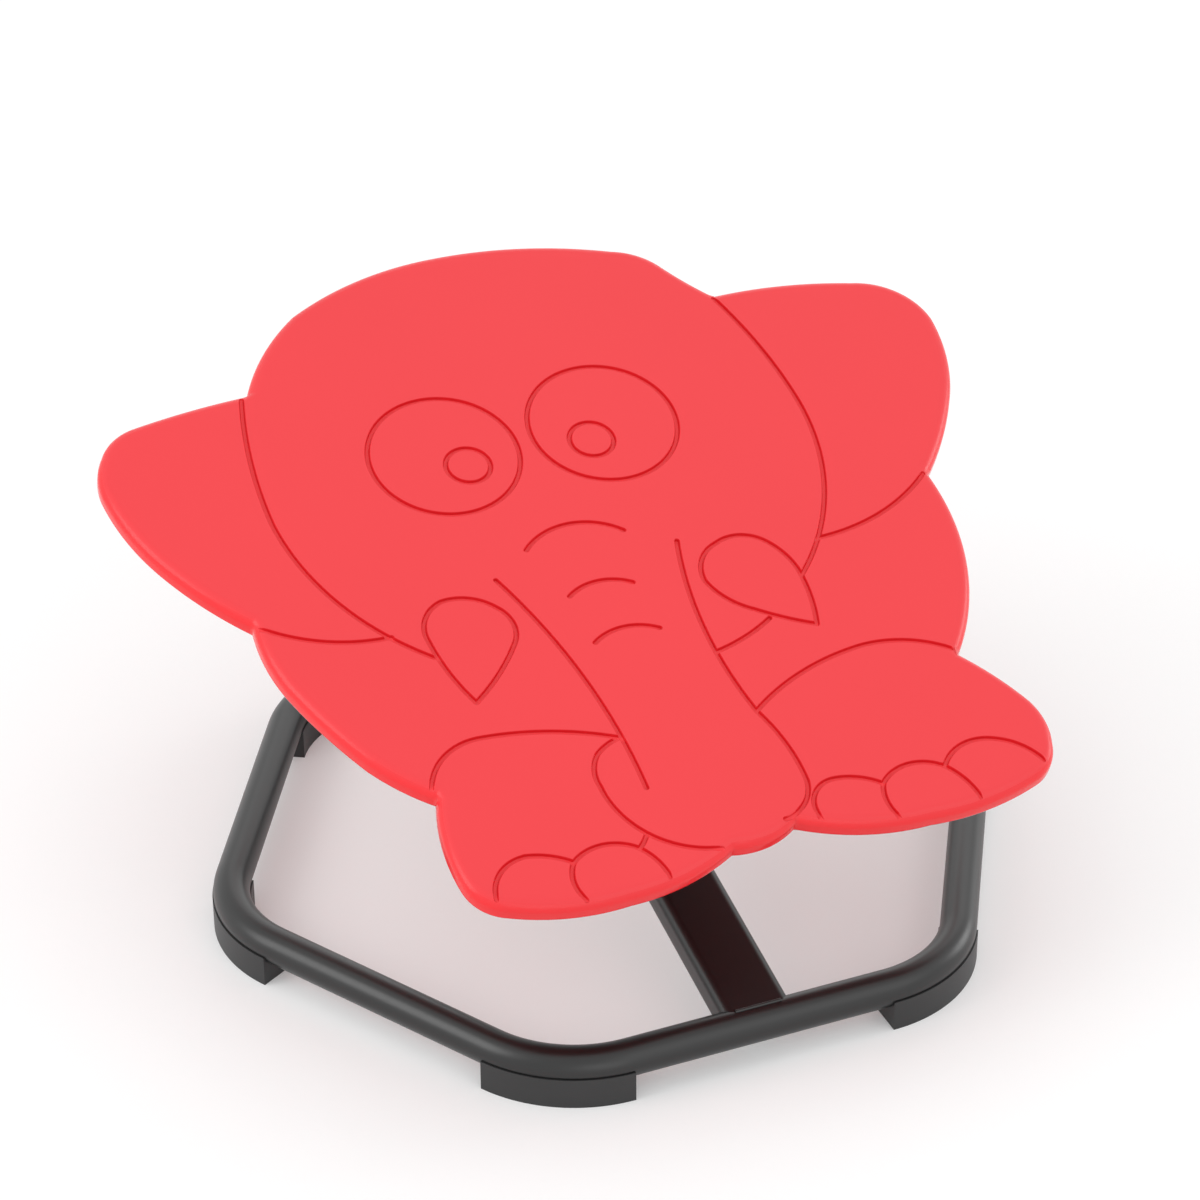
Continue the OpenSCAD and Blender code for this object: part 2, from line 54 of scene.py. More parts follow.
# Node trees, and maths on their sockets
class Wire:
    """An output socket. Arithmetic on it adds Math nodes."""

    def __init__(self, tree, socket):
        self.tree = tree
        self.socket = socket

    def out(self, name):
        return Wire(self.tree, self.socket.node.outputs[name])

    def maths(self, operation, *values):
        return self.tree.node("ShaderNodeMath", {"operation": operation}, dict(enumerate(values)))

    def __add__(self, other):
        return self.maths("ADD", self, other)

    def __rsub__(self, other):
        return self.maths("SUBTRACT", other, self)

    def __mul__(self, other):
        return self.maths("MULTIPLY", self, other)

    __radd__ = __add__
    __rmul__ = __mul__


class Tree:
    """A node tree that grows by one call for each node."""

    def __init__(self, tree):
        self.tree = tree

    def node(self, kind, settings=None, inputs=None):
        """Adds a node, sets it up, then fills or links its sockets. Returns its first output."""
        node = self.tree.nodes.new(kind)
        for name, value in (settings or {}).items():
            setattr(node, name, value)
        for key, value in (inputs or {}).items():
            if isinstance(value, Wire):
                self.tree.links.new(value.socket, node.inputs[key])
            else:
                node.inputs[key].default_value = value
        shown = [socket for socket in node.outputs if socket.enabled]
        return Wire(self, shown[0]) if shown else None

    def noise(self, place, scale, detail=2.0):
        return self.node("ShaderNodeTexNoise", {}, {"Vector": place, "Scale": scale, "Detail": detail})

    def mix(self, share, first, second):
        return self.node("ShaderNodeMix", {"data_type": "RGBA"}, {0: share, 6: first, 7: second}).out(2)


# Finishes
class Finish(Tree):
    """A material in the making: Object coordinates, and a surface to end with."""

    def __init__(self, name):
        self.material = bpy.data.materials.new(name)
        self.material.use_nodes = True
        super().__init__(self.material.node_tree)
        self.tree.nodes.clear()
        self.place = self.node("ShaderNodeTexCoord").out("Object")

    def surface(self, height, depth, sockets):
        """Ends the material: a bump of the given depth in metres, and the shader's sockets."""
        bump = self.node("ShaderNodeBump", {}, {"Distance": depth, "Height": height})
        shader = self.node("ShaderNodeBsdfPrincipled", {}, {**sockets, "Normal": bump})
        self.node("ShaderNodeOutputMaterial", {}, {"Surface": shader})
        return self.material


def seat_plastic():
    """Red satin board: each zone's red and roughness come with the mesh, under clouding and grain. The zone reds
    hold painted shade and painted light on the rim, the routed lines and the underside.
    """
    finish = Finish("seat_plastic")
    cloud = finish.noise(finish.place, 7.0, 3.0)
    grain = finish.noise(finish.place, 1600.0, 2.0)
    zone = finish.node("ShaderNodeAttribute", {"attribute_name": "zone"})
    colour = finish.mix(cloud * 0.05, zone.out("Color"), (0, 0, 0, 1))
    rough = zone.out("Alpha") + cloud * 0.06 + grain * 0.05
    sockets = {"Base Color": colour, "Roughness": rough, "Specular IOR Level": 0.25}
    return finish.surface(grain, 0.000015, sockets)


def frame_paint():
    """Near-black satin powder coat with a fine orange peel."""
    finish = Finish("frame_paint")
    peel = finish.noise(finish.place, 420.0, 2.0)
    colour = finish.mix(peel, (0.003, 0.0033, 0.0033, 1), (0.005, 0.0053, 0.0053, 1))
    rough = 0.32 + peel * 0.06
    sockets = {"Base Color": colour, "Roughness": rough, "Specular IOR Level": 0.66}
    return finish.surface(peel, 0.000006, sockets)


def moulded_rubber(name, dark, light, roughness):
    """Matte moulded rubber with a dusty mottle."""
    finish = Finish(name)
    mottle = finish.noise(finish.place, 45.0, 4.0)
    grain = finish.noise(finish.place, 1900.0, 2.0)
    colour = finish.mix(mottle, (*dark, 1), (*light, 1))
    rough = roughness + grain * 0.1
    return finish.surface(grain, 0.00003, {"Base Color": colour, "Roughness": rough})


def bright_metal(name, dark, light, roughness, stretch):
    """Bare metal with fine tool lines, stretched along the given directions."""
    finish = Finish(name)
    drawn = finish.node("ShaderNodeMapping", {}, {"Vector": finish.place, "Scale": stretch})
    lines = finish.noise(drawn, 900.0, 3.0)
    blotch = finish.noise(finish.place, 120.0, 2.0)
    colour = finish.mix(blotch, (*dark, 1), (*light, 1))
    rough = roughness + lines * 0.12
    sockets = {"Base Color": colour, "Roughness": rough, "Metallic": 1.0}
    return finish.surface(lines, 0.00001, sockets)


def cage_nylon():
    """Off-white moulded nylon."""
    finish = Finish("cage_nylon")
    cloud = finish.noise(finish.place, 160.0, 3.0)
    colour = finish.mix(cloud, (0.62, 0.58, 0.46, 1), (0.74, 0.71, 0.6, 1))
    return finish.surface(cloud, 0.00002, {"Base Color": colour, "Roughness": 0.4 + cloud * 0.1})


FINISHES = {
    "frame_paint": frame_paint(),
    "foot_rubber": moulded_rubber("foot_rubber", (0.022, 0.022, 0.022), (0.029, 0.029, 0.03), 0.42),
    "seal_rubber": moulded_rubber("seal_rubber", (0.012, 0.012, 0.012), (0.02, 0.02, 0.02), 0.5),
    "zinc_steel": bright_metal("zinc_steel", (0.5, 0.51, 0.53), (0.6, 0.61, 0.62), 0.28, (1, 1, 0.2)),
    "bearing_steel": bright_metal("bearing_steel", (0.6, 0.6, 0.61), (0.66, 0.66, 0.67), 0.12, (0.2, 1, 1)),
    "cage_nylon": cage_nylon(),
    "seat_plastic": seat_plastic(),
    "insert_brass": bright_metal("insert_brass", (0.6, 0.4, 0.14), (0.7, 0.48, 0.2), 0.25, (1, 1, 0.3)),
}


# Pieces
JOIN_DISTANCE = 0.002 * MM
FLAT_ANGLE = math.radians(0.5)
CORNER_ANGLE = math.radians(40)
ROUND_SEGMENTS = 3


def add_piece(name, mesh, body, slot, *nodes):
    """Puts a finished mesh on its body, in place of the CAD nodes that it stands for."""
    mesh.materials.clear()
    mesh.materials.append(FINISHES[slot])
    piece = bpy.data.objects.new(name, mesh)
    bpy.context.scene.collection.objects.link(piece)
    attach(piece, body)
    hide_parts(*nodes)


def finished(maker):
    """The plain mesh that an object's modifiers make. The object itself goes."""
    bpy.context.scene.collection.objects.link(maker)
    ready = maker.evaluated_get(bpy.context.evaluated_depsgraph_get())
    mesh = bpy.data.meshes.new_from_object(ready)
    maker.modifiers.clear()
    bpy.data.objects.remove(maker)
    return mesh


def softened(node, body, slot, width):
    """Replaces a CAD piece with a copy whose corners are rounded off and whose flats shade flat."""
    work = bmesh.new()
    work.from_mesh(frame["nodes"][node].data)
    bmesh.ops.remove_doubles(work, verts=work.verts, dist=JOIN_DISTANCE)
    bmesh.ops.dissolve_limit(work, angle_limit=FLAT_ANGLE, verts=work.verts, edges=work.edges)
    sharp = [edge for edge in work.edges if edge.is_manifold and edge.calc_face_angle() > CORNER_ANGLE]
    bmesh.ops.bevel(work, geom=sharp, offset=width, segments=ROUND_SEGMENTS, profile=0.5,
                    affect="EDGES", clamp_overlap=True)
    mesh = bpy.data.meshes.new(node + "_softened")
    work.to_mesh(mesh)
    work.free()
    mesh.shade_smooth()
    mesh.set_sharp_from_angle(angle=CORNER_ANGLE)
    maker = bpy.data.objects.new(node, mesh)
    flats = maker.modifiers.new("flats", "WEIGHTED_NORMAL")
    flats.keep_sharp = True
    add_piece(node + "_softened", finished(maker), body, slot, node)


# Sizes of the base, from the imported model
ring_low, ring_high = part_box("base_ring")
TUBE_R = (ring_high.z - ring_low.z) / 2
TUBE_Z = (ring_high.z + ring_low.z) / 2
APOTHEM = ring_high.y - TUBE_R
CORNERS = 6
HALF_CORNER = math.pi / CORNERS
BEND_R = 70 * MM
BEND_STEPS = 20
TUBE_SIDES = 56

# The seat's spin axis
SPIN = next(joint for joint in frame["joints"] if joint["name"] == "seat_spin")
AXIS = Vector(SPIN["axis"]).normalized()
PIVOT = Vector(SPIN["pos_m"])

# Cross bar: its section, and its highest point, which lies a little behind the spin axis
BAR_W = 38 * MM
BAR_H = 19 * MM
BAR_EDGE = 6 * MM
BAR_BEND_R = 60 * MM
BAR_BACK = 55 * MM
BAR_RISE = math.radians(12.5)
bar_slope = math.tan(BAR_RISE)
bar_drop = (PIVOT.z - TUBE_Z - (PIVOT.y + APOTHEM) * bar_slope) / (AXIS.z - AXIS.y * bar_slope)
BAR_TOP_Y = PIVOT.y - AXIS.y * bar_drop + BAR_BACK
BAR_TOP_Z = TUBE_Z + (BAR_TOP_Y + APOTHEM) * bar_slope
BAR_FALL = math.atan2(BAR_TOP_Z - TUBE_Z, APOTHEM - BAR_TOP_Y)
ARCH_STEPS = 24
EDGE_STEPS = 10

# Weld beads
BEAD_R = 1.1 * MM
BEAD_POINTS = 91
BEAD_SIDES = 16
BEAD_RIPPLES = 15
BEAD_TAPER = 0.4
RIPPLE_DEPTH = 0.05
BEAD_JOIN = 0.01 * MM


class Shaper(Tree):
    """A Geometry Nodes tree with named sizes, which turns a start mesh into a finished one."""

    def __init__(self, name, sizes):
        super().__init__(bpy.data.node_groups.new(name, "GeometryNodeTree"))
        face = self.tree.interface
        face.new_socket("Geometry", in_out="INPUT", socket_type="NodeSocketGeometry")
        face.new_socket("Geometry", in_out="OUTPUT", socket_type="NodeSocketGeometry")
        self.sizes = sizes
        self.keys = {}
        for size in sizes:
            socket = face.new_socket(size, in_out="INPUT", socket_type="NodeSocketFloat")
            self.keys[size] = socket.identifier
        self.given = self.node("NodeGroupInput")

    def size(self, name):
        return self.given.out(name)

    def vector(self, x=0.0, y=0.0, z=0.0):
        return self.node("ShaderNodeCombineXYZ", {}, {"X": x, "Y": y, "Z": z})

    def moved(self, geometry, offset, turn=(0, 0, 0)):
        places = {"Geometry": geometry, "Translation": offset, "Rotation": turn}
        return self.node("GeometryNodeTransform", {}, places)

    def rounded(self, curve, count, radius):
        return self.node("GeometryNodeFilletCurve", {"mode": "POLY"},
                         {"Curve": curve, "Count": count, "Radius": radius})

    def circle(self, count, radius):
        return self.node("GeometryNodeCurvePrimitiveCircle", {}, {"Resolution": count, "Radius": radius})

    def swept(self, path, section):
        return self.node("GeometryNodeCurveToMesh", {},
                         {"Curve": path, "Profile Curve": section, "Fill Caps": True})

    def shape(self, geometry, slot, points=(), edges=()):
        """Ends the tree, runs it once on the start points and returns the plain mesh that it makes."""
        whole = self.node("GeometryNodeRealizeInstances", {}, {"Geometry": geometry})
        coated = self.node("GeometryNodeSetMaterial", {}, {"Geometry": whole, "Material": FINISHES[slot]})
        self.node("NodeGroupOutput", {}, {"Geometry": coated})
        start = bpy.data.meshes.new(self.tree.name)
        start.from_pydata(points, edges, [])
        maker = bpy.data.objects.new(self.tree.name, start)
        modifier = maker.modifiers.new("shape", "NODES")
        modifier.node_group = self.tree
        for name, key in self.keys.items():
            modifier[key] = self.sizes[name]
        mesh = finished(maker)
        mesh.shade_smooth()
        return mesh


def base_ring():
    """The hexagonal ring: one round tube swept along a hexagon with rounded corners."""
    shaper = Shaper("base_ring_sweep", {
        "Corner Radius": APOTHEM / math.cos(HALF_CORNER), "Bend Radius": BEND_R,
        "Tube Radius": TUBE_R, "Height": TUBE_Z})
    hexagon = shaper.circle(CORNERS, shaper.size("Corner Radius"))
    path = shaper.rounded(hexagon, BEND_STEPS, shaper.size("Bend Radius"))
    tube = shaper.swept(path, shaper.circle(TUBE_SIDES, shaper.size("Tube Radius")))
    raised = shaper.moved(tube, shaper.vector(z=shaper.size("Height")))
    add_piece("hexagon_tube", shaper.shape(raised, "frame_paint"), "base", "frame_paint", "base_ring")


def cross_bar():
    """The arched bar: a flat section with round edges, swept over its bend and cut to fit the tube."""
    shaper = Shaper("cross_bar_sweep", {
        "Width": BAR_W, "Height": BAR_H, "Edge Radius": BAR_EDGE, "Bend Radius": BAR_BEND_R,
        "Tube Radius": TUBE_R, "Tube Height": TUBE_Z, "Front": -APOTHEM, "Rear": APOTHEM})
    line = shaper.node("GeometryNodeMeshToCurve", {}, {"Mesh": shaper.given})
    path = shaper.rounded(line, ARCH_STEPS, shaper.size("Bend Radius"))
    path = shaper.node("GeometryNodeSetCurveNormal", {"mode": "Z_UP"}, {"Curve": path})
    sides = {"Width": shaper.size("Width"), "Height": shaper.size("Height")}
    section = shaper.node("GeometryNodeCurvePrimitiveQuadrilateral", {}, sides)
    bar = shaper.swept(path, shaper.rounded(section, EDGE_STEPS, shaper.size("Edge Radius")))
    for end in ("Front", "Rear"):
        tube = shaper.node("GeometryNodeMeshCylinder", {}, {
            "Vertices": TUBE_SIDES, "Radius": shaper.size("Tube Radius"),
            "Depth": shaper.size("Width") * 2})
        place = shaper.vector(y=shaper.size(end), z=shaper.size("Tube Height"))
        tube = shaper.moved(tube, place, (0, math.pi / 2, 0))
        cut = {"operation": "DIFFERENCE", "solver": "EXACT"}
        bar = shaper.node("GeometryNodeMeshBoolean", cut, {"Mesh 1": bar, "Mesh 2": tube})
    corners = [(0, -APOTHEM, TUBE_Z), (0, BAR_TOP_Y, BAR_TOP_Z), (0, APOTHEM, TUBE_Z)]
    mesh = shaper.shape(bar, "frame_paint", corners, [(0, 1), (1, 2)])
    mesh.set_sharp_from_angle(angle=CORNER_ANGLE)
    add_piece("arched_bar", mesh, "base", "frame_paint", "cross_bar")


def bar_welds():
    """Four low rippled weld beads, which taper off along the edges between bar and tube."""
    shaper = Shaper("bar_weld_beads", {
        "Half Length": BAR_W / 2 - BAR_EDGE, "Radius": BEAD_R, "Ripples": BEAD_RIPPLES})
    half = shaper.size("Half Length")
    line = shaper.node("GeometryNodeCurvePrimitiveLine", {},
                       {"Start": shaper.vector(x=half * -1), "End": shaper.vector(x=half)})
    line = shaper.node("GeometryNodeResampleCurve", {}, {"Curve": line, "Count": BEAD_POINTS})
    share = shaper.node("GeometryNodeSplineParameter").out("Factor")
    taper = share.maths("POWER", share * (1 - share) * 4, BEAD_TAPER)
    ripple = share.maths("SINE", share * shaper.size("Ripples") * math.tau)
    swell = taper * (1 + ripple * RIPPLE_DEPTH)
    line = shaper.node("GeometryNodeSetCurveRadius", {}, {"Curve": line, "Radius": swell})
    bead = shaper.swept(line, shaper.circle(BEAD_SIDES, shaper.size("Radius")))
    bead = shaper.node("GeometryNodeMergeByDistance", {}, {"Geometry": bead, "Distance": BEAD_JOIN})
    beads = shaper.node("GeometryNodeInstanceOnPoints", {}, {"Points": shaper.given, "Instance": bead})
    reach = math.sqrt(TUBE_R ** 2 - BAR_H ** 2 / 4)
    places = []
    for front, slope in ((1, BAR_RISE), (-1, BAR_FALL)):
        for height in (-BAR_H / 2, BAR_H / 2):
            along_y = -APOTHEM + reach * math.cos(slope) - height * math.sin(slope)
            places.append((0, front * along_y, TUBE_Z + reach * math.sin(slope) + height * math.cos(slope)))
    mesh = shaper.shape(beads, "frame_paint", places)
    add_piece("bar_weld_beads", mesh, "base", "frame_paint", "bar_welds")


base_ring()
cross_bar()
bar_welds()
for foot in ("right", "rear_right", "rear_left", "left", "front_left", "front_right"):
    softened("foot_" + foot, "base", "foot_rubber", width=0.4 * MM)
softened("tilt_block", "base", "frame_paint", width=0.8 * MM)
softened("post", "base", "frame_paint", width=0.5 * MM)
softened("hub", "seat", "frame_paint", width=0.8 * MM)
softened("hub_screws", "seat", "zinc_steel", width=0.4 * MM)
softened("hub_washers", "seat", "zinc_steel", width=0.2 * MM)


# Seat plate: millimetres in the seat's own frame, with z = 0 on its underside at the spin axis
SEAT_W = 490.0
SEAT_L = 444.0
SEAT_T = 13.0
TOP_ROUND = 6.0
UNDER_ROUND = 3.5
LINE_HALF = 1.3
LINE_DEPTH = 1.8
LINE_LIP = 0.2
LINE_FILLET = 0.3
LINE_MARGIN = 0.3
WALL_LEAN = 0.3
EYE_R = 41.4
PUPIL_R = 12.2
INSERT_CIRCLE_R = 60.0
INSERT_COUNT = 6
INSERT_HOLE_R = 4.56
INSERT_HOLE_L = 9.5

# How finely the seat plate is drawn; steps and gaps are in the same millimetres
OUTLINE_STEP = 2.0
LINE_STEP = 1.5
CUT_STEP = 1.0
GRID_STEP = 16.0
RIM_GAP = 0.5
SKETCH_JOIN = 0.0005
HOLE_SIDES = 32
LINE_END_SIDES = 16
LINE_KINK = math.radians(4)
CHUNK = 2000

# Outline in shares of SEAT_W and SEAT_L: a corner, a point on the arc that follows it, and so on
outline_shares = [
    (-0.035, 0.476), (0.071, 0.464), (0.170, 0.430), (0.199, 0.413), (0.217, 0.390), (0.236, 0.356),
    (0.259, 0.322), (0.346, 0.317), (0.425, 0.299), (0.469, 0.274), (0.496, 0.212), (0.488, 0.146),
    (0.464, 0.081), (0.429, 0.021), (0.390, -0.029), (0.382, -0.157), (0.312, -0.301), (0.341, -0.347),
    (0.361, -0.390), (0.366, -0.422), (0.360, -0.455), (0.351, -0.475), (0.330, -0.494), (0.262, -0.512),
    (0.193, -0.513), (0.118, -0.503), (0.051, -0.473), (0.013, -0.489), (-0.025, -0.487), (-0.084, -0.511),
    (-0.150, -0.519), (-0.217, -0.515), (-0.279, -0.494), (-0.302, -0.474), (-0.312, -0.445),
    (-0.312, -0.386), (-0.299, -0.326), (-0.328, -0.294), (-0.352, -0.258), (-0.379, -0.197),
    (-0.400, -0.136), (-0.409, -0.087), (-0.408, -0.032), (-0.445, 0.021), (-0.474, 0.076), (-0.496, 0.139),
    (-0.506, 0.203), (-0.503, 0.236), (-0.491, 0.264), (-0.472, 0.287), (-0.444, 0.299), (-0.375, 0.309),
    (-0.310, 0.313), (-0.273, 0.374), (-0.222, 0.425), (-0.134, 0.463)]

# Routed lines in the same shares, each a run of arcs
line_shares = {
    "head_left": [(-0.319, 0.304), (-0.340, 0.195), (-0.345, 0.105), (-0.319, -0.018), (-0.240, -0.139)],
    "head_right": [(0.255, 0.313), (0.279, 0.208), (0.287, 0.120), (0.270, 0.000), (0.188, -0.140)],
    "ear_left": [(-0.406, -0.041), (-0.345, -0.082), (-0.274, -0.097)],
    "ear_right": [(0.382, -0.030), (0.317, -0.073), (0.228, -0.092)],
    "wrinkle_top": [(-0.092, -0.015), (-0.037, 0.010), (0.022, -0.017)],
    "wrinkle_middle": [(-0.070, -0.096), (-0.034, -0.083), (0.004, -0.096)],
    "wrinkle_low": [(-0.067, -0.170), (-0.030, -0.157), (0.008, -0.170)],
    "trunk_left": [(-0.139, -0.049), (-0.097, -0.213), (-0.087, -0.385)],
    "trunk_right": [(0.073, -0.050), (0.054, -0.190), (0.065, -0.318), (0.079, -0.380), (0.080, -0.426),
                    (0.068, -0.454), (0.038, -0.471)],
    "tusk_left": [(-0.218, -0.215), (-0.233, -0.160), (-0.238, -0.115), (-0.227, -0.076),
                  (-0.206, -0.062), (-0.178, -0.066), (-0.152, -0.088), (-0.142, -0.114),
                  (-0.150, -0.144), (-0.178, -0.179), (-0.218, -0.215)],
    "tusk_right": [(0.176, -0.216), (0.184, -0.180), (0.187, -0.142), (0.182, -0.107), (0.166, -0.077),
                   (0.141, -0.062), (0.114, -0.066), (0.091, -0.083), (0.081, -0.118), (0.092, -0.146),
                   (0.117, -0.174), (0.146, -0.197), (0.176, -0.216)],
    "mouth": [(0.054, -0.222), (0.092, -0.211), (0.129, -0.192)],
    "foot_left": [(-0.303, -0.320), (-0.279, -0.281), (-0.228, -0.265), (-0.163, -0.277),
                  (-0.091, -0.308)],
    "foot_right": [(0.065, -0.317), (0.140, -0.276), (0.209, -0.261), (0.262, -0.269), (0.305, -0.295)],
    "trunk_tip": [(-0.091, -0.309), (-0.107, -0.315), (-0.120, -0.324), (-0.130, -0.341),
                  (-0.133, -0.368), (-0.112, -0.440), (-0.039, -0.488)],
    "toe_left_outer": [(-0.287, -0.481), (-0.270, -0.447), (-0.240, -0.436), (-0.216, -0.444),
                       (-0.195, -0.459)],
    "toe_left_inner": [(-0.199, -0.511), (-0.204, -0.485), (-0.195, -0.459), (-0.164, -0.446),
                       (-0.124, -0.461), (-0.112, -0.481), (-0.106, -0.508)],
    "toe_left_tick": [(-0.122, -0.461), (-0.116, -0.455), (-0.110, -0.447)],
    "toe_right_inner": [(0.076, -0.483), (0.083, -0.445), (0.110, -0.434), (0.133, -0.440),
                        (0.155, -0.455)],
    "toe_right_middle": [(0.156, -0.506), (0.151, -0.480), (0.157, -0.456), (0.192, -0.439),
                         (0.230, -0.454), (0.244, -0.479), (0.250, -0.506)],
    "toe_right_outer": [(0.230, -0.454), (0.266, -0.429), (0.298, -0.434), (0.322, -0.452),
                        (0.337, -0.478)]}
eye_shares = [(-0.131, 0.152), (0.058, 0.152)]
pupil_shares = [(-0.110, 0.130), (0.037, 0.130)]


def on_seat(share):
    return np.array(share) * (SEAT_W, SEAT_L)


def turned(angle):
    return np.stack([np.cos(angle), np.sin(angle)], -1)


class Arc:
    """The arc from a through b to c, which can be walked at any distance to its left."""

    def __init__(self, a, b, c):
        (ax, ay), (bx, by), (cx, cy) = a, b, c
        twice = 2 * (ax * (by - cy) + bx * (cy - ay) + cx * (ay - by))
        squares = np.array([a @ a, b @ b, c @ c])
        self.centre = np.array([squares @ (by - cy, cy - ay, ay - by), squares @ (cx - bx, ax - cx, bx - ax)])
        self.centre /= twice
        self.radius = np.linalg.norm(a - self.centre)
        self.start = math.atan2(*(a - self.centre)[::-1])
        turn = (math.atan2(*(c - self.centre)[::-1]) - self.start) % math.tau
        self.sweep = turn if twice > 0 else turn - math.tau

    def points(self, step, left=0.0):
        count = max(2, math.ceil(self.radius * abs(self.sweep) / step))
        radius = self.radius - left * math.copysign(1, self.sweep)
        return self.centre + radius * turned(self.start + self.sweep * np.linspace(0, 1, count + 1))

    def heading(self, share):
        return self.start + self.sweep * share + math.copysign(math.pi / 2, self.sweep)


def arcs_of(shares):
    corners = [on_seat(share) for share in shares]
    return [Arc(*corners[index:index + 3]) for index in range(0, len(corners) - 2, 2)]


def round_arcs(share, radius):
    """A full circle as two arcs."""
    middle = on_seat(share)
    ends = [middle + radius * turned(quarter * math.pi / 2) for quarter in range(5)]
    return [Arc(*ends[0:3]), Arc(*ends[2:5])]


OUTLINE = arcs_of(outline_shares + outline_shares[:1])
LINES = [arcs_of(shares) for shares in line_shares.values()]
LINES += [round_arcs(share, EYE_R) for share in eye_shares]
LINES += [round_arcs(share, PUPIL_R) for share in pupil_shares]


def along(arcs, step, left=0.0):
    """Points along a run of arcs, without its last point."""
    return np.concatenate([arc.points(step, left)[:-1] for arc in arcs])


def segments(arcs, step):
    """Start and end points of the short straight stretches along a run of arcs."""
    rows = [arc.points(step) for arc in arcs]
    return np.concatenate([r[:-1] for r in rows]), np.concatenate([r[1:] for r in rows])


def distance(points, starts, ends):
    """Least distance from each point to any of the stretches."""
    best = np.full(len(points), np.inf)
    run = ends - starts
    length = (run * run).sum(1)
    for low in range(0, len(points), CHUNK):
        away = points[low:low + CHUNK, None] - starts
        share = np.clip((away * run).sum(2) / length, 0, 1)
        best[low:low + CHUNK] = np.linalg.norm(away - share[..., None] * run, axis=2).min(1)
    return best


def inside(points, polygon):
    """True for each point that lies inside the polygon."""
    x, y = points.T[:, :, None]
    ax, ay = polygon.T
    bx, by = np.roll(polygon, -1, 0).T
    with np.errstate(divide="ignore", invalid="ignore"):
        crossed = ((ay > y) != (by > y)) & (x < (bx - ax) * (y - ay) / (by - ay) + ax)
    return crossed.sum(1) % 2 == 1


class Sketch:
    """Points and lines that are triangulated together."""

    def __init__(self):
        self.points = []
        self.edges = []

    def line(self, points, closed=False):
        first = len(self.points)
        self.points.extend(points)
        last = len(self.points) - 1
        self.edges.extend((index, index + 1) for index in range(first, last))
        if closed:
            self.edges.append((last, first))

    def triangles(self):
        """Corner places, triangles, and each drawn point's number among the corners."""
        made = delaunay_2d_cdt([Vector(p) for p in self.points], self.edges, [], 0, SKETCH_JOIN, True)
        number = {drawn: index for index, names in enumerate(made[3]) for drawn in names}
        return np.array([tuple(p) for p in made[0]]), np.array(made[2]), number


OUTLINE_POINTS = along(OUTLINE, OUTLINE_STEP)
RIM = (OUTLINE_POINTS, np.roll(OUTLINE_POINTS, -1, 0))
line_parts = [segments(arcs, CUT_STEP) for arcs in LINES]
CUTS = tuple(np.concatenate(ends) for ends in zip(*line_parts))

# The red of each of the seat's zones, with its roughness as a fourth value. The top red is the board's own colour;
# the others hold painted shade (rim in green and blue, line lips and walls, underside) and painted light (rim in
# red, line floors)
SATIN = 0.27
GLOSSY = 0.1
TOP_RED = (0.885, 0.057, 0.067, SATIN)
# Rim red: painted shade in its lower green and blue, painted light in its higher red
RIM_PAINTED_SHADE_AND_LIGHT_RED = (0.92, 0.03, 0.036, GLOSSY)
# Lip red: painted shade, a darker edge along the mouth of each routed line
LIP_PAINTED_SHADE_RED = (0.8, 0.025, 0.033, SATIN)
# Wall red: painted shade, darker where shade falls inside the routed lines
WALL_PAINTED_SHADE_RED = (0.72, 0.014, 0.02, SATIN)
# Line floor red: painted light, lighter to make up for the shade inside the routed lines
LINE_FLOOR_PAINTED_LIGHT_RED = (0.95, 0.055, 0.065, SATIN)
# Underside red: painted shade, darker under the plate
UNDER_PAINTED_SHADE_RED = (0.56, 0.022, 0.028, SATIN)

# Profile of a routed line: distance from its middle, height from the seat's top, and red, which is painted light
# on the floor and painted shade on the walls and lip
LIP_SLANT = LINE_LIP * math.sqrt(0.5)
LINE_PROFILE = [
    (LINE_HALF - WALL_LEAN - LINE_FILLET, -LINE_DEPTH, LINE_FLOOR_PAINTED_LIGHT_RED),
    (LINE_HALF - WALL_LEAN, LINE_FILLET - LINE_DEPTH, WALL_PAINTED_SHADE_RED),
    (LINE_HALF, -LINE_LIP, WALL_PAINTED_SHADE_RED),
    (LINE_HALF + LINE_LIP - LIP_SLANT, LIP_SLANT - LINE_LIP, WALL_PAINTED_SHADE_RED),
    (LINE_HALF + LINE_LIP, 0.0, LIP_PAINTED_SHADE_RED),
    (LINE_HALF + LINE_LIP + LINE_MARGIN, 0.0, TOP_RED)]
ROUND_STEPS = 7
round_turns = np.linspace(0, math.pi / 2, ROUND_STEPS + 1)


def rim_height(edge):
    """Height from the seat's top at a distance from the rim."""
    reach = np.clip(TOP_ROUND - edge, 0, TOP_ROUND)
    return np.sqrt(TOP_ROUND ** 2 - reach ** 2) - TOP_ROUND


def blended(at, knots, reds):
    """The red at each distance, between the reds at the given distances."""
    return np.stack([np.interp(at, knots, channel) for channel in zip(*reds)], -1)


def clear_of_rim(points):
    """Splits a row of points into the stretches that lie inside the rim, clear of it."""
    kept = inside(points, OUTLINE_POINTS) & (distance(points, *RIM) > RIM_GAP)
    breaks = np.flatnonzero(np.diff(kept.astype(int))) + 1
    return [part for part, keep in zip(np.split(points, breaks), np.split(kept, breaks)) if keep[0]]


